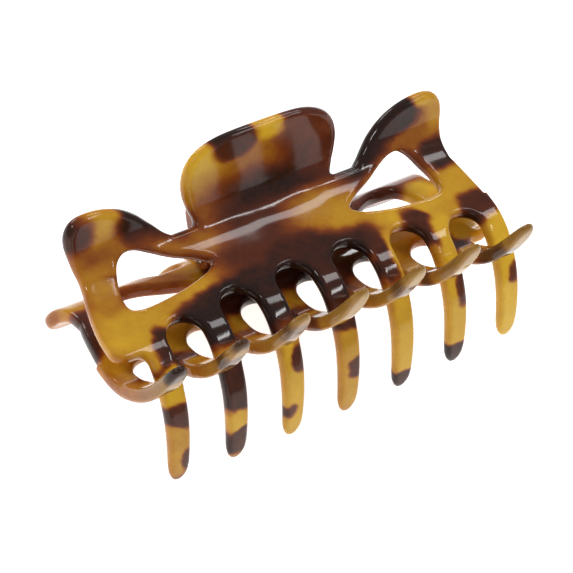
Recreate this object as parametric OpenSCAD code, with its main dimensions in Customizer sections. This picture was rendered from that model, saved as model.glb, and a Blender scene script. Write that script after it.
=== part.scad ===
// Claw hair clip: two moulded jaws with interlocking curved teeth, thumb tabs
// and cut-out ears, joined by a hinge pin with a torsion spring round it.
// The clip lies on its rear jaw. +Z is up, +X runs along the hinge and +Y
// points from the teeth towards the thumb tabs.

/* [Jaw] */
// Distance between neighbouring teeth of one jaw (mm)
pitch = 11.8; // [9:0.1:14]
// Teeth on each jaw
teeth = 7; // [5:1:9]
// Width of a tooth at its root (mm)
tooth_root = 4.4; // [3.5:0.1:5.5]
// Width of a tooth near its tip (mm)
tooth_end = 3.4; // [2.5:0.1:4.5]
// Wall thickness of the jaw at its waist (mm)
wall = 2.6; // [2:0.1:3.5]
// Wall thickness at the free edges and the tooth tips (mm)
wall_end = 2; // [1.6:0.1:3]
// How far the outer teeth stop short of the middle ones (mm)
tooth_bow = 1.4; // [0:0.1:3]

/* [Hinge] */
// Height of the hinge axis above the tooth tips (mm)
hinge_w = 28.5; // [26:0.1:30]
// Pin diameter (mm)
pin_d = 2; // [1.5:0.1:3]
// Radial running clearance of the pin in the front lugs (mm)
pin_gap = 0.05; // [0.02:0.01:0.1]
// Radial clearance of the pin in the rear lugs, which hold it (mm)
pin_hold = 0.01; // [0:0.01:0.02]
// Radius of the pin's riveted heads (mm)
head_r = 1.6; // [1.3:0.1:2.2]
// Thickness of the pin's riveted heads (mm)
head_t = 0.5; // [0.3:0.1:0.8]
// Radius of the hinge lugs (mm)
lug_r = 2.7; // [2.2:0.1:3]
// Width of one hinge lug (mm)
lug_t = 2.4; // [1.8:0.1:3]
// Side gap between neighbouring lugs (mm)
lug_gap = 0.4; // [0.3:0.05:1]

/* [Spring] */
// Wire diameter (mm)
wire_d = 0.8; // [0.6:0.05:1]
// Coil radius to the middle of the wire (mm)
coil_r = 1.75; // [1.5:0.05:2]
// Turns in the coil
coil_turns = 7; // [5:1:12]
// Where a leg ends on its tab, from the hinge axis: [out, up] (mm)
leg_end = [10.9, 7.3]; // [4:0.1:14]

/* [Hidden] */
$fn = 48;
tortoise = [0.52, 0.27, 0.07];
steel = [0.72, 0.73, 0.75];
// Middle line of the wall, front jaw, from the tab's edge to a tooth tip, as
// arcs that follow on from one another: [length, turn in degrees, spans].
wall_start = [-22.6, 37.2];
wall_slope = 17.5;
wall_arcs = [
    [11, 0, 3], // thumb tab
    [4, 13, 2], // flare below the tab
    [6, 43, 2], // crease
    [12.4, 16, 4], // waist
    [7, -38, 3], // root of the teeth
    [11, -29, 3], // bend of the teeth
    [12.5, -7, 3] // run out to the tips
];
function walk(p, h, legs, i = 0) =
    i == len(legs) ? [p] :
    let (l = legs[i][0], t = legs[i][1])
    concat([p], walk(p + l * [cos(h + t / 2), -sin(h + t / 2)], h + t, legs, i + 1));
spine = walk(wall_start, wall_slope,
    [for (a = wall_arcs, k = [1 : a[2]]) [a[0] / a[2], a[1] / a[2]]]);
steps = 3;
last = len(spine) - 1;
lug_x = [13.6, 13.6 - lug_t - lug_gap];

// ---- smooth outlines through a few named points ----
function pick(p, i) = p[max(0, min(len(p) - 1, i))];
function spline_at(p, i, t) =
    let (a = pick(p, i - 1), b = pick(p, i), c = pick(p, i + 1), d = pick(p, i + 2))
    0.5 * (2 * b + (c - a) * t + (2 * a - 5 * b + 4 * c - d) * t * t
        + (3 * b - a - 3 * c + d) * t * t * t);
function smooth(p, n) = concat(
    [for (i = [0 : len(p) - 2], k = [0 : n - 1]) spline_at(p, i, k / n)],
    [p[len(p) - 1]]
);
function mirrored(p) = [for (i = [len(p) - 1 : -1 : 0]) [-p[i][0], p[i][1]]];

// ---- wall section ----
function part_of(a, b) = [for (i = [a : b]) spine[i]];
function unit(d) = d / norm(d);
function side(p, i) =
    let (d = unit(p[min(len(p) - 1, i + 1)] - p[max(0, i - 1)])) [-d[1], d[0]];
// Half thickness along the spine: full at the waist, thinner at both ends.
function half_wall(i) =
    let (u = i / (last * steps), e = pow(abs(2 * u - 0.95), 3))
    (wall * (1 - min(1, e)) + wall_end * min(1, e)) / 2;
function line_pts() = smooth(spine, steps);
function section(i0, i1) =
    let (p = line_pts(), a = i0 * steps, b = i1 * steps)
    concat(
        [for (i = [a : b]) p[i] + half_wall(i) * side(p, i)],
        [for (i = [b : -1 : a]) p[i] - half_wall(i) * side(p, i)]
    );

// A [across, up] section run along X, centred.
module along_x(len) {
    rotate([90, 0, 90])
        translate([0, 0, -len / 2])
            linear_extrude(height = len) children();
}

// An [x, up] outline run through the wall.
module through_wall() {
    translate([0, 12, 0])
        rotate([90, 0, 0])
            linear_extrude(height = 40) children();
}

// ---- outlines of the front jaw ----
// Outer edge of the waist and ear arms, right half, [x, up].
waist_edge = smooth([
    [38.2, 30.2], [38.1, 28.8], [38.4, 26.6], [39.1, 24.2],
    [39.8, 20.8], [40.3, 17.4], [40.4, 14.6]
], 4);
// Lower left corner below the ear, [x, up].
corner_edge = [for (a = [0 : 18 : 90]) [-38.2 - 2.2 * cos(a), 14.6 - 2.2 * sin(a)]];

// Top of the arch at a given x.
function arch_top(x) = 18.1 - 3.4 * pow(x / 34, 2);
function tooth_x(i) = pitch * (i - 4) + pitch / 4;
// How far across a tooth reaches.
function tooth_reach(i) = 18.6 - tooth_bow * pow((tooth_x(i) + 5) / 35, 2);

module waist_outline() {
    difference() {
        polygon(concat(
            [[-38.2, 30.2]],
            [for (i = [1 : len(waist_edge) - 1]) [-waist_edge[i][0], waist_edge[i][1]]],
            corner_edge,
            [[-34, 12.4], [-34, 6.5], [40.4, 6.5]],
            [for (i = [len(waist_edge) - 1 : -1 : 0]) waist_edge[i]]
        ));
        for (i = [1 : teeth - 1])
            arch(i);
    }
}

// One arch between two neighbouring teeth, [x, up].
module arch(i) {
    x = tooth_x(i) + pitch / 2;
    r = (pitch - tooth_root) / 2;
    translate([x, arch_top(x) - r]) circle(r = r);
    translate([x - r, 0]) square([2 * r, arch_top(x) - r]);
}

// Cut-out of an ear, [x, up].
module ear_hole() {
    polygon(smooth([
        [14.6, 24.3], [17.2, 25.9], [20.8, 27.5], [24.2, 29.3],
        [26.7, 30.3], [29, 30.4], [30.9, 29.2], [32.2, 26.6],
        [33.1, 23.6], [33, 20.9], [31, 19.9], [26.6, 20],
        [21.4, 20.7], [16.8, 21.9], [14.6, 23.2], [14.6, 24.3]
    ], 2));
}

// Outline of one ear seen from above the flare, [x, across].
module ear_outline() {
    polygon(concat(
        smooth([
            [14.6, -5.4], [17.6, -5.6], [20.4, -6.7], [22.8, -8.7],
            [25.5, -11.1], [28.4, -12.9], [31.8, -14], [35.2, -14.3],
            [37.6, -13.7], [38.9, -12], [39.1, -9.8], [38.6, -7.4],
            [38.1, -5.2]
        ], 3),
        [[38.1, -3], [14.6, -3]]
    ));
}

// Outline of the thumb tab seen from above the flare, [x, across].
half_tab = smooth([
    [0, -20.6], [5, -20.57], [8.6, -20.2], [11.4, -19.4],
    [13.6, -18], [15.1, -16], [15.7, -13.5], [15.5, -10.9],
    [14.7, -8.4], [13.7, -6.4]
], 3);
module tab_outline() {
    polygon(concat(
        [for (i = [len(half_tab) - 1 : -1 : 1]) [-half_tab[i][0], half_tab[i][1]]],
        half_tab,
        [[13.6, -3], [-13.6, -3]]
    ));
}

// Outline of one tooth seen from above, [x, across].
module tooth_outline(i) {
    x = tooth_x(i);
    end = tooth_reach(i);
    a = tooth_root / 2;
    b = tooth_end / 2;
    tip_r = b * 0.98;
    polygon(concat(
        [[x - a, -6], [x - a, 0]],
        smooth([[x - a, 0], [x - a + 0.12, 4], [x - b - 0.15, 10], [x - b, end - tip_r]], 3),
        [for (t = [-72 : 24 : 72]) [x + b * sin(t), end - tip_r + tip_r * cos(t)]],
        smooth([[x + b, end - tip_r], [x + b + 0.15, 10], [x + a - 0.12, 4], [x + a, 0]], 3),
        [[x + a, -6]]
    ));
}

// ---- front jaw in the clip's own frame ----
module wall_upper() {
    difference() {
        intersection() {
            along_x(100) polygon(section(0, 14));
            union() {
                through_wall() waist_outline();
                translate([0, 0, 20]) linear_extrude(height = 30) tab_outline();
                translate([0, 0, 20]) linear_extrude(height = 30) ear_outline();
                mirror([1, 0, 0])
                    translate([0, 0, 20]) linear_extrude(height = 30) ear_outline();
            }
        }
        through_wall() ear_hole();
        mirror([1, 0, 0]) through_wall() ear_hole();
    }
}

module tooth(i) {
    intersection() {
        translate([tooth_x(i), 0, 0]) along_x(tooth_root) polygon(section(13, last));
        translate([0, 0, -10]) linear_extrude(height = 40) tooth_outline(i);
    }
}

// Section of a hinge lug: a round boss joined to the back of the tab.
module lug_section() {
    translate([0, hinge_w]) circle(r = lug_r);
    polygon(concat(
        smooth([
            [1.3, hinge_w + 2.3], [-1, 31.9], [-3.2, 33.5], [-5.2, 34.6],
            [-7.4, 34.9], [-9.6, 34.3], [-11.2, 33.6]
        ], 4),
        [[-9, 32.5], [-5.6, 29.3], [-4.6, 26], [-2.4, hinge_w - 1.25]]
    ));
}

module lug(x) {
    translate([x, 0, 0]) along_x(lug_t) lug_section();
}

module bore(r) {
    translate([-20, 0, hinge_w]) rotate([0, 90, 0]) cylinder(r = r, h = 40);
}

module jaw(bore_r) {
    difference() {
        union() {
            wall_upper();
            for (i = [1 : teeth])
                tooth(i);
            lug(-lug_x[0] + lug_t / 2);
            lug(lug_x[1] - lug_t / 2);
        }
        bore(bore_r);
    }
}

// ---- torsion spring ----
// The wire comes down off the front tab, winds round the pin and runs out
// onto the rear tab. Angles are from straight up towards the rear jaw.
coil_step = wire_d + 0.06;
leg_dist = norm(leg_end);
leave = acos(coil_r / leg_dist) - atan2(leg_end[0], leg_end[1]);
sweep = 360 * coil_turns - 2 * leave;
coil_w = coil_step * sweep / 360;
coil_n = coil_turns * 20;
wire_line = concat(
    [[-coil_w / 2, -leg_end[0], hinge_w + leg_end[1]]],
    [for (i = [0 : coil_n])
        let (t = i / coil_n, a = leave + sweep * t)
        [coil_w * (t - 0.5), coil_r * sin(a), hinge_w + coil_r * cos(a)]],
    [[coil_w / 2, leg_end[0], hinge_w + leg_end[1]]]
);

function ring(p, i, r, n) =
    let (d = unit(pick(p, i + 1) - pick(p, i - 1)),
        u = unit(cross(d, [1, 0, 0])), w = cross(d, u))
    [for (k = [0 : n - 1])
        p[i] + r * (cos(360 * k / n) * u + sin(360 * k / n) * w)];

module wire(p, r, n) {
    m = len(p) - 1;
    polyhedron(
        points = [for (i = [0 : m]) each ring(p, i, r, n)],
        faces = concat(
            [[for (k = [0 : n - 1]) k]],
            [for (i = [0 : m - 1], k = [0 : n - 1])
                [i * n + k, (i + 1) * n + k, (i + 1) * n + (k + 1) % n]],
            [for (i = [0 : m - 1], k = [0 : n - 1])
                [i * n + k, (i + 1) * n + (k + 1) % n, i * n + (k + 1) % n]],
            [[for (k = [n - 1 : -1 : 0]) m * n + k]]
        )
    );
}

// ---- lying on the table ----
// The rear tab's edge and the front jaw's tooth tips touch it.
function face_height(v, i0, i1, way) =
    let (p = line_pts())
    lookup(v, [for (i = [i0 * steps : i1 * steps]) p[i] + way * half_wall(i) * side(p, i)]);
tab_reach = max([for (q = half_tab) -q[1]]);
tip_reach = max([for (i = [1 : teeth]) tooth_reach(i)]);
rest_tab = [tab_reach, face_height(-tab_reach, 0, 3, -1)];
rest_tip = [tip_reach, face_height(tip_reach, last - 3, last, -1)];
tilt = atan2(rest_tab[0] - rest_tip[0], rest_tab[1] - rest_tip[1]);
lift = cos(tilt) * rest_tip[0] - sin(tilt) * rest_tip[1];
y_high = sin(tilt) * tab_reach + cos(tilt) * face_height(-tab_reach, 0, 3, 1);
y_low = cos(tilt) * rest_tip[1] - sin(tilt) * tip_reach;
shift_y = -(y_high + y_low) / 2;

module lay() {
    translate([0, shift_y, lift])
        rotate([tilt - 90, 0, 0]) children();
}

module front_jaw() {
    color(tortoise)
        lay() jaw(pin_d / 2 + pin_gap);
}

module rear_jaw() {
    color(tortoise)
        lay() rotate([0, 0, 180]) jaw(pin_d / 2 + pin_hold);
}

module pin_body() {
    end = lug_x[0] + 0.1;
    translate([-end, 0, hinge_w]) rotate([0, 90, 0]) {
        cylinder(r = pin_d / 2, h = 2 * end);
        translate([0, 0, -head_t]) cylinder(r = head_r, h = head_t);
        translate([0, 0, 2 * end]) cylinder(r = head_r, h = head_t);
    }
}

module hinge_pin() {
    color(steel)
        lay() pin_body();
}

module torsion_spring() {
    color(steel)
        lay() wire(wire_line, wire_d / 2, 8);
}

rear_jaw();
front_jaw();
hinge_pin();
torsion_spring();
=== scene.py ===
import math

import bmesh
import bpy
import numpy as np
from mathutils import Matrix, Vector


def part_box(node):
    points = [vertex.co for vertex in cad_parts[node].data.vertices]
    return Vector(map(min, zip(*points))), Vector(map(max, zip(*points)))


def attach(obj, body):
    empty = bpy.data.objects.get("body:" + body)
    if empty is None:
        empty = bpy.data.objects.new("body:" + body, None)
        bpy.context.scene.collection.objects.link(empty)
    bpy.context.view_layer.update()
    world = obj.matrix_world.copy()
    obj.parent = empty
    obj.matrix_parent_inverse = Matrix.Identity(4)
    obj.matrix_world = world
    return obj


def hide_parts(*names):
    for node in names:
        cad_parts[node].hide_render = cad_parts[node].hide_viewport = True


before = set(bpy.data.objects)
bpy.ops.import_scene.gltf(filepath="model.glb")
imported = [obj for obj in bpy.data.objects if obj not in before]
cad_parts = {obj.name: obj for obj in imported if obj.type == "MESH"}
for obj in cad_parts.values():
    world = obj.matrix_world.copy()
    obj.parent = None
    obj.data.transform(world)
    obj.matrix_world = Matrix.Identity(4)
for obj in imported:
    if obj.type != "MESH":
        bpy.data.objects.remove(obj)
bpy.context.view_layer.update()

import openvdb
from mathutils import Matrix, Vector

MM = 0.001

# The clip's own frame, in mm: x along the hinge, v across from the front jaw to the
# rear jaw, w from the tooth tips up to the tabs. The hinge is at v = 0, w = HINGE_W.
# The clip lies on its rear jaw, turned by TILT.
HINGE_W = 28.5
TILT = math.radians(3.0617)  # copied from the part, which works it out
PIN_LO, PIN_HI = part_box("hinge_pin")
HINGE = (PIN_LO + PIN_HI) / 2

# Middle line of the front jaw's wall, from the tab's edge to a tooth tip, as arcs that
# follow on from one another: (length, turn in degrees, spans), as in the part's source.
WALL_START, WALL_SLOPE = (-22.6, 37.2), 17.5
WALL_ARCS = [
    (11, 0, 3),  # thumb tab
    (4, 13, 2),  # flare below the tab
    (6, 43, 2),  # crease
    (12.4, 16, 4),  # waist
    (7, -38, 3),  # root of the teeth
    (11, -29, 3),  # bend of the teeth
    (12.5, -7, 3),  # run out to the tips
]


def walk(start, slope, arcs):
    """Points (v, w) along the arcs."""
    points = [np.array(start, float)]
    for length, turn, spans in arcs:
        for _ in range(spans):
            heading = math.radians(slope + turn / spans / 2)
            step = np.array([math.cos(heading), -math.sin(heading)]) * length / spans
            points.append(points[-1] + step)
            slope += turn / spans
    return points


SPINE = walk(WALL_START, WALL_SLOPE, WALL_ARCS)
PITCH = 11.8
TOOTH_X = [PITCH * (i - 4) + PITCH / 4 for i in range(1, 8)]
CELL = 0.4


def to_world(p):
    """Points from the clip's frame, in mm, to the row frame, in metres."""
    c, s = math.cos(TILT), math.sin(TILT)
    v, w = p[:, 1], p[:, 2] - HINGE_W
    return np.stack([p[:, 0] * MM, HINGE.y + (s * v + c * w) * MM,
                     HINGE.z + (-c * v + s * w) * MM], 1)


def spline(points, n):
    """Catmull-Rom curve through the points, n steps to each span."""
    p = np.array(points, float)
    q = np.vstack([p[:1], p, p[-1:]])
    u = np.arange(n)[:, None] / n
    out = []
    for i in range(len(p) - 1):
        a, b, c, d = q[i:i + 4]
        out.append(0.5 * (2 * b + (c - a) * u + (2 * a - 5 * b + 4 * c - d) * u ** 2
                          + (3 * b - a - 3 * c + d) * u ** 3))
    return np.vstack(out + [p[-1:]])


LINE = spline(SPINE, 20)
ALONG = np.r_[0, np.cumsum(np.hypot(*np.diff(LINE, axis=0).T))]
END = ALONG[-1]


def s_at_w(w):
    return np.interp(-np.asarray(w, float), -LINE[:, 1], ALONG)


def s_at_v(v):
    return np.interp(v, LINE[:, 0], ALONG)


def nearest_on_line(v, w):
    """For points (v, w): distance along the wall's middle line and signed distance off it."""
    a, d = LINE[:-1], np.diff(LINE, axis=0)
    length = np.hypot(d[:, 0], d[:, 1])
    best = np.full(len(v), 1e9)
    s, t = np.zeros(len(v)), np.zeros(len(v))
    for k in range(len(a)):
        dv, dw = v - a[k, 0], w - a[k, 1]
        u = np.clip((dv * d[k, 0] + dw * d[k, 1]) / length[k] ** 2, 0, 1)
        gap = np.hypot(dv - u * d[k, 0], dw - u * d[k, 1])
        near = gap < best
        best[near] = gap[near]
        s[near] = ALONG[k] + u[near] * length[k]
        t[near] = (gap * np.sign(d[k, 0] * dw - d[k, 1] * dv))[near]
    return s, t


# Half the wall's thickness along the line: thick at the waist, thinner at both ends.
WALL_THICK, WALL_THIN = 2.6, 2.0
TO_ENDS = np.minimum(1, np.abs(2 * np.linspace(0, 1, len(LINE)) - 0.95) ** 3)
HALF_WALL = (WALL_THICK * (1 - TO_ENDS) + WALL_THIN * TO_ENDS) / 2


def polygon_distance(x, y, poly):
    """Signed distance to a closed polygon, negative inside."""
    p = np.asarray(poly, float)
    q = np.roll(p, -1, axis=0)
    best = np.full(len(x), 1e9)
    inside = np.zeros(len(x), bool)
    for (ax, ay), (bx, by) in zip(p, q):
        dx, dy = bx - ax, by - ay
        size = dx * dx + dy * dy
        if size < 1e-12:
            continue
        u = np.clip(((x - ax) * dx + (y - ay) * dy) / size, 0, 1)
        best = np.minimum(best, (x - ax - u * dx) ** 2 + (y - ay - u * dy) ** 2)
        if dy:
            crosses = ((ay > y) != (by > y)) & (x < dx * (y - ay) / dy + ax)
            inside ^= crosses
    return np.sqrt(best) * np.where(inside, -1, 1)


def soft_min(a, b, k):
    """The smaller of two distances, with the join rounded over a width of k."""
    h = np.maximum(k - np.abs(a - b), 0) / k
    return np.minimum(a, b) - h * h * k / 4


def on_wall(points, across):
    """Outline points from (x, up) or (x, across) to (x, along the wall)."""
    p = np.array(points, float)
    return np.stack([p[:, 0], s_at_v(p[:, 1]) if across else s_at_w(p[:, 1])], 1)


# The jaw's outline, in mm. The control points of SIDE, EAR_HOLE, EAR and HALF_TAB began as
# the output of a script's fit to the photo, then smoothed.
# Outer edge of the waist and of the ear arms, right half, (x, up).
SIDE = spline([(38.2, 30.2), (38.1, 28.8), (38.4, 26.6), (39.1, 24.2), (39.8, 20.8),
               (40.3, 17.4), (40.4, 14.6)], 8)
QUARTER = np.radians(np.arange(0, 91, 9))
CORNER_R, CROOK_R = 2.2, 1.85
CORNER = [(-38.2 - CORNER_R * math.cos(a), 14.6 - CORNER_R * math.sin(a)) for a in QUARTER]
CROOK = [(-36.5 + CROOK_R * math.sin(a), 10.55 + CROOK_R * math.cos(a)) for a in QUARTER]
SIDE_INSET = 0.5  # the right edge lies this much further in than the part's
SIDE_RIGHT = SIDE - (SIDE_INSET, 0)
OVERLAP_V = -3.35  # the ears and the tab run down to here, inside the waist
WAIST = on_wall([(-38.2, 30.2)] + [(-x, w) for x, w in SIDE[1:]] + CORNER + CROOK
                + [(-34.65, 6.5), (40.1, 6.5)] + [tuple(p) for p in SIDE_RIGHT[::-1]], False)
EAR_HOLE = on_wall(spline([
    (14.6, 24.3), (17.2, 25.9), (20.8, 27.5), (24.2, 29.3), (26.7, 30.3), (29, 30.4),
    (30.9, 29.2), (32.2, 26.6), (33.1, 23.6), (33, 20.9), (31, 19.9), (26.6, 20),
    (21.4, 20.7), (16.8, 21.9), (14.6, 23.2), (14.6, 24.3)], 5), False)
EAR = on_wall(list(map(tuple, spline([
    (14.6, -5.4), (17.6, -5.6), (20.4, -6.7), (22.8, -8.7), (25.5, -11.1), (28.4, -12.9),
    (31.8, -14), (35.2, -14.3), (37.6, -13.7), (38.9, -12), (39.1, -9.8), (38.6, -7.4),
    (38.1, -5.2)], 8))) + [(38.1, OVERLAP_V), (14.6, OVERLAP_V)], True)
HALF_TAB = spline([(0, -20.57), (5, -20.5), (8.6, -20.2), (11.4, -19.4), (13.6, -18),
                   (15.1, -16), (15.7, -13.5), (15.5, -10.9), (14.7, -8.4), (13.7, -6.4)], 8)
TAB = on_wall([(-x, v) for x, v in HALF_TAB[:0:-1]] + list(map(tuple, HALF_TAB))
              + [(13.6, OVERLAP_V), (-13.6, OVERLAP_V)], True)
TAB_BLEND = 1.6

TOOTH_S = s_at_v([-6, 0, 4, 10, 19])
TOOTH_HALF = [2.2, 2.2, 2.14, 2.0, 1.85]
TOOTH_ROOT_W = 17
# A tooth ends in half an ellipse. The ends lie on a shallow curve across the clip, which
# sums up what a script's fit to the photo's silhouette gave.
TIP_HALF, TIP_LONG = 1.87, 3.4
TIP_V, TIP_DROP, TIP_MIDDLE, TIP_SPAN = 18.5, 1.4, -5, 35
# The arches between the teeth are highest in the middle of the clip.
ARCH_R, ARCH_TOP, ARCH_DROP, ARCH_SPAN = 3.7, 18.1, 3.4, 34
# How far the outline stands out from the part's, along the wall.
GROW_S, GROW_BY = [2.4, 5, 30, 38], [-0.1, 0.22, 0.22, 0.05]


def outline(x, s):
    """Signed distance to the jaw's outline in the wall's own surface, negative inside."""
    far = np.abs(x)
    d = np.minimum(polygon_distance(x, s, WAIST), polygon_distance(far, s, EAR))
    d = soft_min(d, polygon_distance(x, s, TAB), TAB_BLEND)
    d = np.maximum(d, -polygon_distance(far, s, EAR_HOLE))
    for tooth in TOOTH_X[:-1]:
        middle = tooth + PITCH / 2
        top = s_at_w(ARCH_TOP - ARCH_DROP * (middle / ARCH_SPAN) ** 2) + ARCH_R
        dx = x - middle
        arch = np.where(s < top, np.hypot(dx, s - top), np.abs(dx)) - ARCH_R
        d = np.maximum(d, -arch)
    d = d - np.interp(s, GROW_S, GROW_BY)
    half = np.interp(s, TOOTH_S, TOOTH_HALF)
    for tooth in TOOTH_X:
        reach = TIP_V - TIP_DROP * ((tooth - TIP_MIDDLE) / TIP_SPAN) ** 2
        tip = s_at_v(reach) - TIP_LONG
        dx = np.abs(x - tooth)
        side = np.maximum(dx - half, s_at_w(TOOTH_ROOT_W) - s)
        point = (np.hypot(dx / TIP_HALF, (s - tip) / TIP_LONG) - 1) * TIP_HALF
        d = np.minimum(d, np.where(s < tip, side, point))
    return d


# Hinge lugs, which grow out of the wall on a gusset. LUG_T is along the hinge.
LUG_R, LUG_T, LUG_ROUND, LUG_BLEND = 2.7, 2.4, 0.5, 0.8
GUSSET = list(map(tuple, spline([(1.3, 30.8), (-1, 31.9), (-3.2, 33.5), (-5.2, 34.6),
                                 (-7.4, 34.9), (-9.6, 34.3), (-11.2, 33.6)], 8)))
GUSSET += [(-9, 32.5), (-5.6, 29.3), (-4.6, 26), (-2.4, 27.25)]
LUG_MIDDLES = (-13.6 + LUG_T / 2, 10.8 - LUG_T / 2)
BORE_R = 1.05
THIN_FROM, THIN_BY = 52, 0.62  # the teeth thin towards their tips
SQUARE = 2.3  # how square the wall's rounded edge is; 2 is an ellipse
EDGE_S, EDGE_WIDE = [0, 18, 28, END], [1.0, 1.0, 0.75, 0.7]  # width of that rounding
GRID_LO, GRID_HI = (-41.6, -22.4, -3.6), (41.8, 20.0, 38.6)
FAR = 2.0  # the field is cut off this far from the surface


def lugs(x, v, w):
    """Signed distance to the lugs, and distance from the hinge."""
    hinge = np.hypot(v, w - HINGE_W)
    flat = np.minimum(hinge - LUG_R, polygon_distance(v, w, GUSSET))
    out = np.full(len(x), 1e9)
    for middle in LUG_MIDDLES:
        a, b = flat + LUG_ROUND, np.abs(x - middle) - LUG_T / 2 + LUG_ROUND
        one = np.minimum(np.maximum(a, b), 0) + np.hypot(np.maximum(a, 0), np.maximum(b, 0))
        out = np.minimum(out, one - LUG_ROUND)
    return out, hinge


def jaw_field(x, v, w, s=None, t=None):
    """Signed field of the whole jaw, about mm, negative inside."""
    if s is None:
        s, t = nearest_on_line(v, w)
    half = np.interp(s, ALONG, HALF_WALL)
    thin = np.clip((s - THIN_FROM) / (END - THIN_FROM), 0, 1) ** 2 * THIN_BY
    t = t - thin
    half = half - thin
    edge = np.interp(s, EDGE_S, EDGE_WIDE)
    a = np.maximum(1 + outline(x, s) / edge, 0)
    wall = ((a ** SQUARE + (np.abs(t) / half) ** SQUARE) ** (1 / SQUARE) - 1) * half
    lug, hinge = lugs(x, v, w)
    d = soft_min(wall, lug, LUG_BLEND)
    return np.maximum(d, BORE_R - hinge)


def jaw_mesh():
    """Vertices (mm, clip frame) and quads of the front jaw."""
    lo, hi = np.array(GRID_LO), np.array(GRID_HI)
    n = np.ceil((hi - lo) / CELL).astype(int) + 1
    xs, vs, ws = [lo[i] + CELL * np.arange(n[i]) for i in range(3)]
    gv, gw = [g.ravel() for g in np.meshgrid(vs, ws, indexing="ij")]
    s, t = nearest_on_line(gv, gw)
    lug_far, _ = lugs(np.full(len(gv), LUG_MIDDLES[0]), gv, gw)
    near = np.flatnonzero((np.abs(t) < WALL_THICK / 2 + 3 * CELL) | (lug_far < 3 * CELL))
    field = np.full((n[0], n[1] * n[2]), FAR, np.float32)
    for i, x in enumerate(xs):
        field[i, near] = np.clip(jaw_field(np.full(len(near), x), gv[near], gw[near],
                                           s[near], t[near]), -FAR, FAR)
    grid = openvdb.FloatGrid(FAR)
    grid.copyFromArray(np.ascontiguousarray(field.reshape(tuple(n))))
    points, _, quads = grid.convertToPolygons(isovalue=0, adaptivity=0)
    p = np.array(points, float) * CELL + lo
    step = 0.03
    for _ in range(4):  # Newton's steps onto the exact surface
        f = jaw_field(*p.T)
        g = np.stack([jaw_field(*(p + e).T) - jaw_field(*(p - e).T)
                      for e in np.eye(3) * step], 1) / (2 * step)
        p -= np.clip(f / np.maximum((g ** 2).sum(1), 0.2), -0.3, 0.3)[:, None] * g
    return p, np.array(quads)


def noise(x, y, seed):
    """Smooth waves of several lengths, from -1 to 1, different for each seed."""
    rng = np.random.default_rng(seed)
    out = np.zeros(len(x))
    for wave, size in ((9, 0.4), (5, 0.35), (2.6, 0.2), (1.4, 0.12)):
        for _ in range(3):
            turn, shift = rng.uniform(0, 2 * math.pi, 2)
            k = 2 * math.pi / (wave * rng.uniform(0.8, 1.25))
            out += size * np.sin(k * (x * math.cos(turn) + y * math.sin(turn)) + shift) / 1.7
    return out


WOBBLE, MOTTLE, PATCH_SQUARE = 0.55, 0.1, 2.6


def paint(x, s, patches, base, seed):
    """Tone of the plastic, 0 honey to 1 near black, from soft-edged patches laid in order.
    A patch is (x, along, half width, half length, turn, tone, soft edge in mm)."""
    wx = x + WOBBLE * noise(x, s, seed)
    ws = s + WOBBLE * noise(x, s, seed + 1)
    tone = base + MOTTLE * noise(x / 2, s / 2, seed + 2)
    for px, ps, rx, rs, turn, value, soft in patches:
        c, n = math.cos(math.radians(turn)), math.sin(math.radians(turn))
        a, b = wx - px, ws - ps
        u, v = (a * c + b * n) / rx, (-a * n + b * c) / rs
        r = (np.abs(u) ** PATCH_SQUARE + np.abs(v) ** PATCH_SQUARE) ** (1 / PATCH_SQUARE)
        k = np.clip(0.5 - (r - 1) * min(rx, rs) / soft / 2, 0, 1)
        k = k * k * (3 - 2 * k)
        tone = tone * (1 - k) + value * k
    return np.clip(tone, 0, 1)
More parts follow.
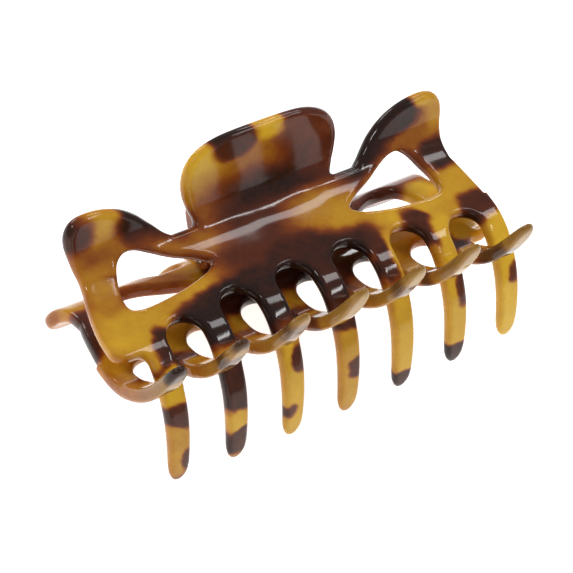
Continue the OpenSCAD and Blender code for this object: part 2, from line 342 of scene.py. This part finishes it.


# The jaws' patches were placed over a picture of the photo's colours laid out on
# the wall with a grid in mm.
FRONT_PATCHES = [
    # tab
    (-12.5, 6, 4, 6, 8, 0.06, 1.86), (-12, 15, 3.6, 5, 0, 0.42, 2.48),
    (-3, 8.5, 8, 3.4, -12, 0.45, 2.48), (9.5, 5.5, 7, 6.5, 0, 0.74, 2.48),
    (-6, 3.6, 4.4, 3.2, -6, 0.86, 0.7), (1.6, 2.2, 2.7, 3.2, 18, 0.08, 0.9),
    (2.5, 15.6, 12.6, 4.6, 0, 0.97, 2.79), (11, 12, 3, 3, 0, 0.78, 2.48),
    # left ear
    (-33, 9.5, 6.5, 4.5, 0, 0.2, 2.33), (-37.6, 12, 2.8, 3.2, 10, 0.86, 1.55),
    (-34.5, 17, 5, 2.6, 0, 0.55, 2.48), (-26, 13.4, 3.8, 4.2, -38, 0.93, 1.55),
    (-20.6, 16, 3.8, 2.2, 30, 0.84, 1.86), (-21, 20.4, 6, 2.2, 32, 0.42, 1.86),
    (-36.5, 24, 4, 4.4, 0, 0.33, 2.17), (-34, 31.5, 8, 4, 0, 0.16, 2.17),
    # waist
    (-22, 28.4, 8, 3, -8, 0.24, 2.17), (-4, 25, 11.5, 7, -4, 0.8, 2.48),
    (-15, 21.6, 4, 2.2, 0, 0.45, 1.86), (8.5, 23.2, 6.5, 4.2, -4, 0.36, 2.48),
    (26, 28.6, 13, 3.2, 0, 0.14, 1.86), (13, 26.6, 4, 3, 0, 0.22, 2.17),
    (-14.5, 34.4, 12.6, 5.2, -4, 0.97, 0.9), (1, 32, 8.5, 5.4, 0, 0.93, 1.55),
    (10.6, 31.6, 5, 2.6, 0, 0.9, 1.55), (3, 38, 3.4, 6, 0, 0.92, 1.55),
    (14.2, 36.6, 2.2, 5.6, 0, 0.88, 0.8), (17, 37.5, 1.5, 6, 0, 0.12, 0.6),
    (24.6, 33.6, 2.2, 4.6, -24, 0.88, 0.7), (28, 37.5, 2.6, 4.8, 0, 0.14, 0.8),
    (36.6, 33.6, 3.4, 3.4, 0, 0.84, 0.9), (38, 39.4, 3.6, 3, 0, 0.1, 0.8),
    (-35.5, 37, 2.2, 2.6, 0, 0.2, 0.8), (-31.4, 36.6, 2.4, 3.2, 20, 0.9, 0.7),
    # right ear
    (31.5, 16.2, 8, 3.6, 0, 0.5, 1.8), (20.5, 16, 6.4, 3.6, -38, 0.97, 1.6),
    (27.6, 11.4, 6.6, 3.2, -14, 0.95, 0.9), (35.6, 8.4, 2.8, 2.2, 0, 0.1, 0.8),
    (37.2, 13, 1.6, 3.4, 0, 0.3, 1.2), (35.6, 21.4, 3.2, 3.4, 0, 0.94, 1.2),
    (36.6, 27.2, 3.4, 2.6, 0, 0.2, 1.6),
    # teeth, left to right
    (-32.4, 43.5, 3, 3.6, 0, 0.1, 0.6), (-32, 48, 3.4, 2.4, 18, 0.86, 0.4),
    (-31, 57.2, 1.5, 2.6, 0, 0.84, 0.4), (-32.5, 62, 3, 1.9, 0, 0.55, 0.6),
    (-20.6, 46.6, 3.2, 5, 0, 0.88, 0.4), (-20.6, 53.4, 3.2, 2, 0, 0.12, 0.5),
    (-20, 58, 3.4, 2.9, -16, 0.88, 0.4), (-20.6, 62.4, 3.2, 1.8, 0, 0.35, 0.5),
    (-8.8, 52.5, 3.4, 11, 0, 0.12, 0.8), (-7.4, 46.4, 1.9, 2.8, 0, 0.82, 0.4),
    (-9.9, 56.2, 1.1, 1.5, 0, 0.8, 0.4), (3, 52.5, 3.4, 9, 0, 0.2, 0.8),
    (3, 43, 3.2, 2.2, 0, 0.85, 0.5), (4, 52.6, 2.1, 1.9, 0, 0.8, 0.4),
    (14.8, 50, 3.4, 9, 0, 0.1, 0.8), (14.8, 61.2, 3.2, 3.3, 0, 0.88, 0.35),
    (26.6, 50, 3.4, 8.4, 0, 0.1, 0.8), (28.1, 45.8, 1.9, 3.4, 0, 0.78, 0.4),
    (26.6, 60.6, 3.2, 3.9, 0, 0.9, 0.35), (38.4, 51, 3.4, 13, 0, 0.05, 0.8),
    (38.9, 46.8, 1.2, 1.8, 0, 0.74, 0.35),
]
REAR_PATCHES = [
    (-36, 33.5, 4, 4, 0, 0.12, 1), (-24, 33, 5, 5, 0, 0.36, 1), (-12, 31, 5, 3.6, 0, 0.9, 1),
    (-12, 38, 4, 3, 0, 0.6, 1), (0, 30.4, 5, 3, 0, 0.9, 0.9), (0, 35, 5, 2.6, 0, 0.34, 1),
    (12, 30.4, 5, 3, 0, 0.88, 0.9), (12, 35.4, 5, 2.6, 0, 0.32, 1),
    (24, 33, 5, 4.4, 0, 0.3, 1), (35, 34, 5, 5, 0, 0.25, 1.2),
    (35.6, 12, 5, 4.5, 0, 0.42, 1.5), (-32, 14, 8.5, 6, 0, 0.72, 1.8),
    (24, 20, 9, 3.6, -10, 0.5, 1.5), (-26, 19, 6, 4, 20, 0.76, 1.5),
    # teeth, right to left as the camera has them
    (-32.4, 50, 3.2, 5.4, 0, 0.74, 1.2), (-32.4, 59.6, 3.2, 4.4, 0, 0.36, 1.0),
    (-20.6, 52, 3.2, 12, 0, 0.36, 1.4), (-20.6, 46, 3, 2, 0, 0.72, 0.9),
    (-8.8, 52, 3.2, 12, 0, 0.34, 1.4), (-8.8, 55.4, 2.4, 2.4, 20, 0.72, 1.2),
    (3, 52, 3.2, 12, 0, 0.34, 1.4), (3, 45.4, 3, 1.9, 0, 0.7, 1),
    (3, 62.5, 2.6, 2.2, 0, 0.3, 1), (14.8, 52, 3.2, 12, 0, 0.36, 1.4),
    (14.8, 57, 2.4, 2.6, -20, 0.72, 1.2), (26.6, 50, 3.2, 10, 0, 0.42, 1.2),
    (26.6, 54.8, 2.6, 2.2, 10, 0.76, 0.9), (26.6, 61.4, 3, 2, 0, 0.78, 0.8),
    (38.4, 50, 3.2, 8, 0, 0.38, 1.2), (38.4, 60, 3, 3.6, 0, 0.86, 0.9),
]


def scattered(seed, count):
    """Patches of a random tortoiseshell, for the parts of a jaw with none of their own."""
    rng = np.random.default_rng(seed)
    out = []
    for _ in range(count):
        dark = rng.random() < 0.62
        size = rng.uniform(2.2, 6.2, 2) * (1 if dark else 0.7)
        out.append((rng.uniform(-40, 40), rng.uniform(0, 44), size[0], size[1] * 0.75,
                    rng.uniform(-50, 50), rng.uniform(0.75, 0.98) if dark
                    else rng.uniform(0.05, 0.35), rng.uniform(0.7, 1.6)))
    return out


def new_mesh(name, points, faces, body):
    mesh = bpy.data.meshes.new(name)
    mesh.from_pydata(np.asarray(points, float).tolist(), [],
                     [[int(i) for i in f] for f in faces])
    mesh.update()
    bm = bmesh.new()
    bm.from_mesh(mesh)
    bmesh.ops.recalc_face_normals(bm, faces=bm.faces)
    bm.to_mesh(mesh)
    bm.free()
    mesh.polygons.foreach_set("use_smooth", [True] * len(mesh.polygons))
    obj = bpy.data.objects.new(name, mesh)
    bpy.context.scene.collection.objects.link(obj)
    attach(obj, body)
    return obj


# ---- materials ----
def node_tree(name):
    mat = bpy.data.materials.new(name)
    mat.use_nodes = True
    nodes = mat.node_tree.nodes
    shader = nodes["Principled BSDF"]

    def add(kind, links=None, **values):
        n = nodes.new(kind)
        for key, value in values.items():
            if key in n.inputs:
                n.inputs[key].default_value = value
            else:
                setattr(n, key, value)
        for key, source in (links or {}).items():
            mat.node_tree.links.new(source, n.inputs[key])
        return n

    def join(a, b):
        mat.node_tree.links.new(a, b)

    return mat, shader, add, join


def tortoiseshell():
    mat, shader, add, join = node_tree("tortoiseshell")
    here = {"Vector": add("ShaderNodeTexCoord").outputs["Object"]}
    tone = add("ShaderNodeAttribute", attribute_name="tone")
    marble = add("ShaderNodeTexNoise", here, Scale=420.0,
                 Detail=5.0, Roughness=0.6, Distortion=1.4)
    cloud = add("ShaderNodeTexNoise", here, Scale=110.0,
                Detail=3.0, Distortion=0.8)
    fine = add("ShaderNodeMath", {0: marble.outputs["Fac"]}, operation="MULTIPLY_ADD")
    fine.inputs[1].default_value, fine.inputs[2].default_value = 0.16, -0.08
    wide = add("ShaderNodeMath", {0: cloud.outputs["Fac"], 2: fine.outputs[0]},
               operation="MULTIPLY_ADD")
    wide.inputs[1].default_value = 0.22
    shade = add("ShaderNodeMath", {0: tone.outputs["Fac"], 1: wide.outputs[0]},
                operation="ADD")
    level = add("ShaderNodeMath", {0: shade.outputs[0]}, operation="SUBTRACT", use_clamp=True)
    level.inputs[1].default_value = 0.11
    ramp = add("ShaderNodeValToRGB", {"Fac": level.outputs[0]})
    stops = [(0.0, (0.80, 0.50, 0.032)), (0.2, (0.62, 0.33, 0.022)),
             (0.42, (0.43, 0.16, 0.012)), (0.6, (0.25, 0.058, 0.010)),
             (0.8, (0.11, 0.024, 0.010)), (1.0, (0.022, 0.009, 0.007))]
    while len(ramp.color_ramp.elements) < len(stops):
        ramp.color_ramp.elements.new(0.5)
    for e, (at, colour) in zip(ramp.color_ramp.elements, stops):
        e.position = at
        e.color = (*colour, 1)
    # Painted reflection: the olive ramp, blended in by the attribute below, stands in for a
    # grey sheen over the amber of the teeth.
    olive = add("ShaderNodeValToRGB", {"Fac": level.outputs[0]})
    for e, (at, colour) in zip(olive.color_ramp.elements, (
            (0.15, (0.36, 0.255, 0.055)), (0.95, (0.040, 0.020, 0.012)))):
        e.position = at
        e.color = (*colour, 1)
    painted_sheen = add("ShaderNodeAttribute", attribute_name="painted_sheen")
    blend = add("ShaderNodeMix", {"Factor": painted_sheen.outputs["Fac"]}, data_type="RGBA")
    join(ramp.outputs["Color"], blend.inputs[6])
    join(olive.outputs["Color"], blend.inputs[7])
    join(blend.outputs[2], shader.inputs["Base Color"])
    rough = add("ShaderNodeMapRange", {"Value": cloud.outputs["Fac"]})
    rough.inputs["To Min"].default_value, rough.inputs["To Max"].default_value = 0.05, 0.13
    join(rough.outputs["Result"], shader.inputs["Roughness"])
    swell = add("ShaderNodeTexNoise", here, Scale=75.0,
                Detail=1.0)
    bump = add("ShaderNodeBump", {"Height": swell.outputs["Fac"]}, Strength=1.0,
               Distance=0.0006)
    grain = add("ShaderNodeTexNoise", here, Scale=1500.0,
                Detail=2.0)
    skin = add("ShaderNodeBump", {"Height": grain.outputs["Fac"],
                                  "Normal": bump.outputs["Normal"]}, Strength=0.03,
               Distance=0.0001)
    join(skin.outputs["Normal"], shader.inputs["Normal"])
    shader.inputs["IOR"].default_value = 1.5
    shader.inputs["Subsurface Weight"].default_value = 0.3
    shader.inputs["Subsurface Radius"].default_value = (1.0, 0.6, 0.12)
    shader.inputs["Subsurface Scale"].default_value = 0.0012
    shader.inputs["Specular IOR Level"].default_value = 0.26
    return mat


def steel(name, tint):
    mat, shader, add, join = node_tree(name)
    here = {"Vector": add("ShaderNodeTexCoord").outputs["Object"]}
    stretch = add("ShaderNodeMapping", here,
                  Scale=(0.12, 1.0, 1.0))
    lines = add("ShaderNodeTexNoise", {"Vector": stretch.outputs["Vector"]}, Scale=3200.0,
                Detail=4.0)
    stain = add("ShaderNodeTexNoise", here, Scale=500.0,
                Detail=3.0)
    ramp = add("ShaderNodeValToRGB", {"Fac": stain.outputs["Fac"]})
    ramp.color_ramp.elements[0].position = 0.3
    ramp.color_ramp.elements[0].color = (*[c * 0.7 for c in tint], 1)
    ramp.color_ramp.elements[1].position = 0.7
    ramp.color_ramp.elements[1].color = (*tint, 1)
    join(ramp.outputs["Color"], shader.inputs["Base Color"])
    rough = add("ShaderNodeMapRange", {"Value": lines.outputs["Fac"]})
    rough.inputs["To Min"].default_value, rough.inputs["To Max"].default_value = 0.18, 0.38
    join(rough.outputs["Result"], shader.inputs["Roughness"])
    bump = add("ShaderNodeBump", {"Height": lines.outputs["Fac"]}, Strength=0.1,
               Distance=0.00005)
    join(bump.outputs["Normal"], shader.inputs["Normal"])
    shader.inputs["Metallic"].default_value = 1.0
    return mat


# ---- the two jaws ----
points, quads = jaw_mesh()
jaw_s, jaw_t = nearest_on_line(points[:, 1], points[:, 2])
shell = tortoiseshell()
# Painted shade: the tone is made darker close to the outline, standing in for the darker look
# of the wall's edges where its thickness is seen.
painted_edge_shade = 0.14 * np.exp(np.minimum(outline(points[:, 0], jaw_s), 0) / 0.5)
for name, body, turn, patches, seed in (
        ("front_jaw_shell", "front", 1, scattered(5, 30) + FRONT_PATCHES, 11),
        ("rear_jaw_shell", "rear", -1, scattered(8, 60) + REAR_PATCHES, 23)):
    placed = to_world(points * np.array([turn, turn, 1]))
    jaw = new_mesh(name, placed, quads, body)
    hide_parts(name.replace("_shell", ""))
    # The tone is the patches' pattern plus the painted shade along the edges.
    tone = paint(points[:, 0] + 0.3 * jaw_t, jaw_s, patches, 0.3, seed) + painted_edge_shade
    # Painted reflection: towards their tips the teeth are blended to the olive sheen colour,
    # much more on the rear jaw than on the front.
    painted_sheen = (0.6 if body == "rear" else 0.15) * np.clip((jaw_s - 42) / 12, 0, 1)
    jaw.data.attributes.new("painted_sheen", "FLOAT", "POINT").data.foreach_set("value", painted_sheen)
    jaw.data.attributes.new("tone", "FLOAT", "POINT").data.foreach_set(
        "value", tone.astype(np.float32))
    jaw.data.materials.append(shell)


# ---- hinge pin and torsion spring ----
def ring_faces(rings, around):
    """Quads between rings of points that follow one another."""
    faces = []
    for i in range(rings - 1):
        for k in range(around):
            m = (k + 1) % around
            faces.append((i * around + k, i * around + m, (i + 1) * around + m,
                          (i + 1) * around + k))
    return faces


def lathe(profile, around=48):
    """(x, radius) profile turned about the hinge; ends closed with a point."""
    pts = []
    for x, r in profile[1:-1]:
        for a in np.arange(around) * 2 * math.pi / around:
            pts.append((x, r * math.sin(a), HINGE_W + r * math.cos(a)))
    rings = len(profile) - 2
    faces = ring_faces(rings, around)
    pts += [(profile[0][0], 0, HINGE_W), (profile[-1][0], 0, HINGE_W)]
    for k in range(around):
        m = (k + 1) % around
        faces.append((len(pts) - 2, m, k))
        faces.append((len(pts) - 1, (rings - 1) * around + k, (rings - 1) * around + m))
    return np.array(pts), faces


HEAD = [(14.16, 0), (14.17, 0.45), (14.19, 0.62), (14.18, 0.85), (14.1, 1.15), (13.98, 1.38),
        (13.86, 1.52), (13.76, 1.58), (13.72, 1.56), (13.7, 1.45), (13.7, 1.02), (13.66, 0.99)]
PROFILE = [(-x, r) for x, r in HEAD] + [(x, r) for x, r in HEAD[::-1]]
pin_points, pin_faces = lathe(PROFILE)
pin = new_mesh("hinge_pin_steel", to_world(pin_points), pin_faces, "rear")
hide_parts("hinge_pin")
pin.data.materials.append(steel("pin_steel", (0.62, 0.61, 0.6)))


def tube(path, radius, around=14):
    """Round wire along a path, with rounded ends."""
    p = np.array(path, float)
    d = np.gradient(p, axis=0)
    d /= np.linalg.norm(d, axis=1)[:, None]
    cap = np.radians([75, 50, 25])
    grow = [(0, -math.sin(a), math.cos(a)) for a in cap]
    grow += [(i, 0, 1) for i in range(len(p))]
    grow += [(len(p) - 1, math.sin(a), math.cos(a)) for a in cap[::-1]]
    pts = []
    for i, push, scale in grow:
        u = np.cross(d[i], (1, 0, 0))
        u /= np.linalg.norm(u)
        w = np.cross(d[i], u)
        for a in np.arange(around) * 2 * math.pi / around:
            pts.append(p[i] + d[i] * push * radius
                       + radius * scale * (math.cos(a) * u + math.sin(a) * w))
    faces = ring_faces(len(grow), around)
    faces.append(tuple(range(around)))
    faces.append(tuple((len(grow) - 1) * around + k for k in range(around))[::-1])
    return np.array(pts), faces


# The legs leave the coil on its tangents. The first two turns are looser than the rest,
# and the first one moves with the front jaw.
WIRE_R, COIL_R, LEG = 0.4, 1.75, (10.9, 7.3)
TURNS, LOOSE_TURNS, LOOSE_PITCH, CLOSE_PITCH = 7, 2, 1.07, 0.81
COIL_POINTS, LEG_POINTS = 330, 24
LEAVE = math.acos(COIL_R / math.hypot(*LEG)) - math.atan2(*LEG)
SWEEP = TURNS * 2 * math.pi - 2 * LEAVE
turns = np.linspace(0, SWEEP, COIL_POINTS)
loose = LOOSE_TURNS * 2 * math.pi
steps = np.where(turns < loose, LOOSE_PITCH * turns,
                 LOOSE_PITCH * loose + CLOSE_PITCH * (turns - loose)) / (2 * math.pi)
coil_x = steps - steps[-1] / 2
coil = [(x, COIL_R * math.sin(LEAVE + a), HINGE_W + COIL_R * math.cos(LEAVE + a))
        for x, a in zip(coil_x, turns)]
front_end = np.array([coil_x[0], -LEG[0], HINGE_W + LEG[1]])
rear_end = np.array([coil_x[-1], LEG[0], HINGE_W + LEG[1]])
cut = int(np.searchsorted(turns, 2 * math.pi))
front_leg = [front_end + (np.array(coil[0]) - front_end) * k
             for k in np.linspace(0, 0.97, LEG_POINTS)]
rear_leg = [np.array(coil[-1]) + (rear_end - np.array(coil[-1])) * k
            for k in np.linspace(0.03, 1, LEG_POINTS)]
wire = steel("spring_wire", (0.56, 0.55, 0.54))
for name, path, body in (("spring_coil", coil[cut:] + rear_leg, "rear"),
                         ("spring_front_leg", front_leg + coil[:cut], "front")):
    wire_points, wire_faces = tube(path, WIRE_R)
    piece = new_mesh(name, to_world(wire_points), wire_faces, body)
    piece.data.materials.append(wire)
    if body == "rear":
        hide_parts("torsion_spring")


# ---- floor, light and camera ----
FLOOR_HALF, FLOOR_Z = 3, -0.00015  # just below the clip, so that the two don't touch
floor_mesh = bpy.data.meshes.new("floor")
floor_mesh.from_pydata([(x * FLOOR_HALF, y * FLOOR_HALF, FLOOR_Z)
                        for x, y in ((-1, -1), (1, -1), (1, 1), (-1, 1))], [], [(0, 1, 2, 3)])
floor = bpy.data.objects.new("floor", floor_mesh)
bpy.context.scene.collection.objects.link(floor)
floor_mat, floor_shader, _, _ = node_tree("pale_floor")
floor_shader.inputs["Base Color"].default_value = (0.86, 0.86, 0.86, 1)
floor_shader.inputs["Roughness"].default_value = 0.9
floor_shader.inputs["Specular IOR Level"].default_value = 0.0
floor_shader.inputs["Emission Color"].default_value = (1, 1, 1, 1)
floor_shader.inputs["Emission Strength"].default_value = 0.85
floor_mesh.materials.append(floor_mat)


def area_light(name, place, size, power, target=(0, 0, 0.02)):
    data = bpy.data.lights.new(name, "AREA")
    data.shape = "RECTANGLE"
    data.size, data.size_y = size
    data.energy = power
    light = bpy.data.objects.new(name, data)
    bpy.context.scene.collection.objects.link(light)
    light.location = place
    aim = Vector(target) - Vector(place)
    light.rotation_mode = "QUATERNION"
    light.rotation_quaternion = aim.to_track_quat("-Z", "Y")


area_light("softbox_back", (0.44, 0.46, 0.56), (0.26, 0.05), 0.8)
area_light("band_over", (0.39, -0.05, 0.70), (0.15, 0.26), 1.2)
area_light("strip_front", (0.36, -0.34, 0.62), (0.16, 0.04), 0.5)
area_light("window_left", (-0.52, 0.16, 0.60), (0.10, 0.12), 1.2)
area_light("window_back", (-0.1, 0.7, 0.35), (0.3, 0.18), 1.0)

world = bpy.data.worlds.new("studio")
bpy.context.scene.world = world
world.use_nodes = True
world.node_tree.nodes["Background"].inputs["Color"].default_value = (1, 1, 1, 1)
world.node_tree.nodes["Background"].inputs["Strength"].default_value = 0.40

# The camera's place, directions and lens are the output of a script's fit to the photo.
CAMERA_AT = (-0.21988, -0.22198, 0.35379)
CAMERA_UP = Vector((0.32364, 0.67967, 0.65826))
CAMERA_BACK = Vector((-0.47639, -0.48404, 0.73400))
camera_data = bpy.data.cameras.new("camera")
camera = bpy.data.objects.new("camera", camera_data)
bpy.context.scene.collection.objects.link(camera)
side = CAMERA_UP.cross(CAMERA_BACK)
camera.matrix_world = Matrix.Translation(CAMERA_AT) @ Matrix(
    (side, CAMERA_UP, CAMERA_BACK)).transposed().to_4x4()
camera_data.sensor_width = 36
camera_data.lens = 165.673
camera_data.clip_start, camera_data.clip_end = 0.05, 20
camera_data.dof.use_dof = False
bpy.context.scene.camera = camera
bpy.context.scene.view_settings.view_transform = "Standard"
